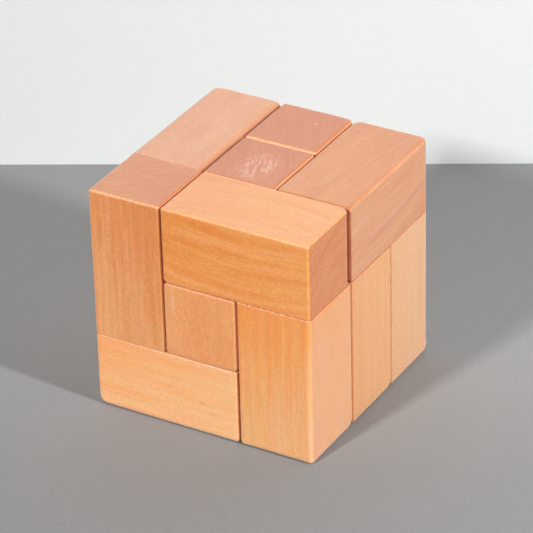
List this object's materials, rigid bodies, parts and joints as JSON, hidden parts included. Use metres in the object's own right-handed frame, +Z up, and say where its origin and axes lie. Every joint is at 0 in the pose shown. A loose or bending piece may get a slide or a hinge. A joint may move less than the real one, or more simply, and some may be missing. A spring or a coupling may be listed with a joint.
{
  "type": "wooden assembly cube puzzle",
  "caption": "Wooden puzzle cube of square hardwood blocks glued into interlocking pieces that slide apart.",
  "frame": {"origin": "centre of the cube's underside, where it rests", "axes": "+Z up, -Y towards the front, +X to the right seen from the front"},
  "size_m": [0.06, 0.06, 0.06],
  "materials": {
    "left_wood": "fine-grained hardwood, sanded, bare",
    "front_wood": "fine-grained hardwood, sanded, bare",
    "back_wood": "fine-grained hardwood, sanded, bare",
    "core_wood": "fine-grained hardwood, sanded, bare"
  },
  "bodies": {
    "core_piece": {"core_post_block": "core_wood", "core_foot_block": "core_wood", "core_arm_block": "core_wood", "core_riser_block": "core_wood"},
    "left_piece": {"left_foot_block": "left_wood", "left_post_block": "left_wood", "left_rail_block": "left_wood"},
    "front_piece": {"front_rail_block": "front_wood", "front_post_block": "front_wood", "front_tongue_block": "front_wood", "front_cube_block": "front_wood"},
    "back_piece": {"back_rail_block": "back_wood", "back_post_block": "back_wood", "back_foot_block": "back_wood"}
  },
  "joints": [
    {"name": "left_piece_slide", "type": "slide", "parent": "core_piece", "child": "left_piece", "axis": [-1, 0, 0], "range_m": [0, 0.045]},
    {"name": "front_piece_lift", "type": "slide", "parent": "core_piece", "child": "front_piece", "axis": [0, 0, 1], "range_m": [0, 0.065]},
    {"name": "back_piece_slide", "type": "slide", "parent": "core_piece", "child": "back_piece", "axis": [0, 1, 0], "range_m": [0, 0.045]}
  ]
}
